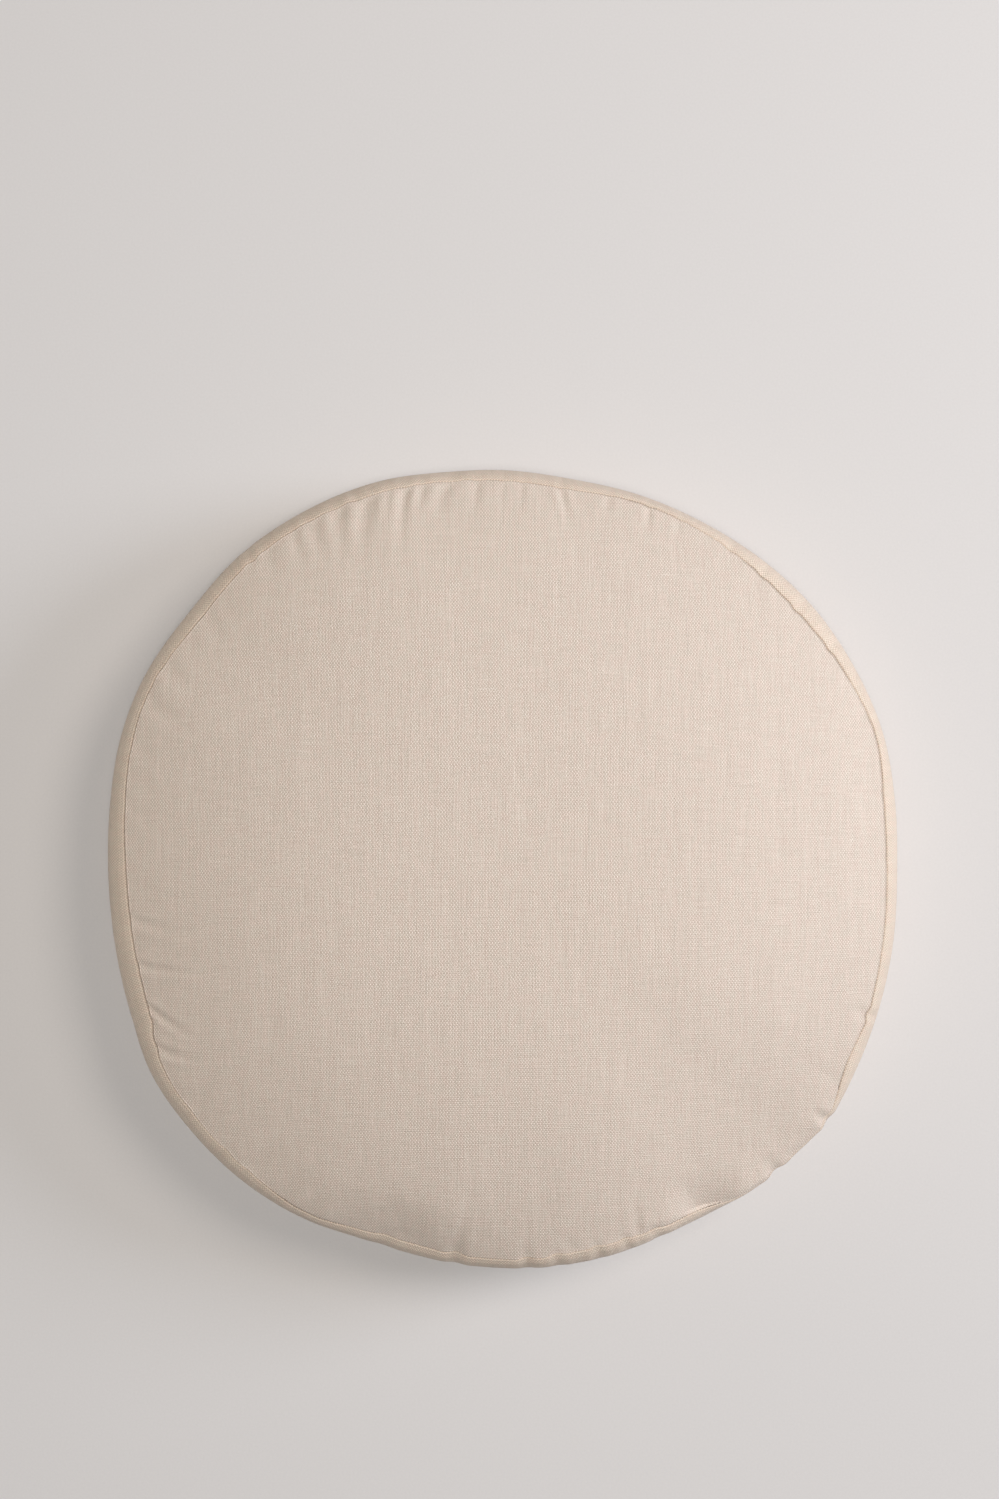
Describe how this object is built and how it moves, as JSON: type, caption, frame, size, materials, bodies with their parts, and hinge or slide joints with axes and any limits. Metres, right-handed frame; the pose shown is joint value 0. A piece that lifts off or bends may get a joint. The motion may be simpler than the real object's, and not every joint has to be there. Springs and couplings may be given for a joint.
{
  "type": "round box-edged seat cushion",
  "caption": "Round filled seat cushion in plain natural linen, with a crowned top panel, a bulging side band and a flat resting face.",
  "frame": {"origin": "under the middle of the cushion, on the surface that it rests on", "axes": "+Z up through the crown, the cushion's thickness; +X right and +Y up in the picture, along the weft and the warp of the top panel"},
  "size_m": [0.391, 0.3956, 0.084],
  "materials": {
    "panel_linen": "matt plain-weave natural linen, oatmeal, with slubs and uneven yarns",
    "band_linen": "the same linen, cut as a strip round the side",
    "base_linen": "the same linen, round bottom panel"
  },
  "bodies": {
    "root": {"top_panel": "panel_linen", "box_band": "band_linen", "bottom_panel": "base_linen"}
  },
  "joints": []
}
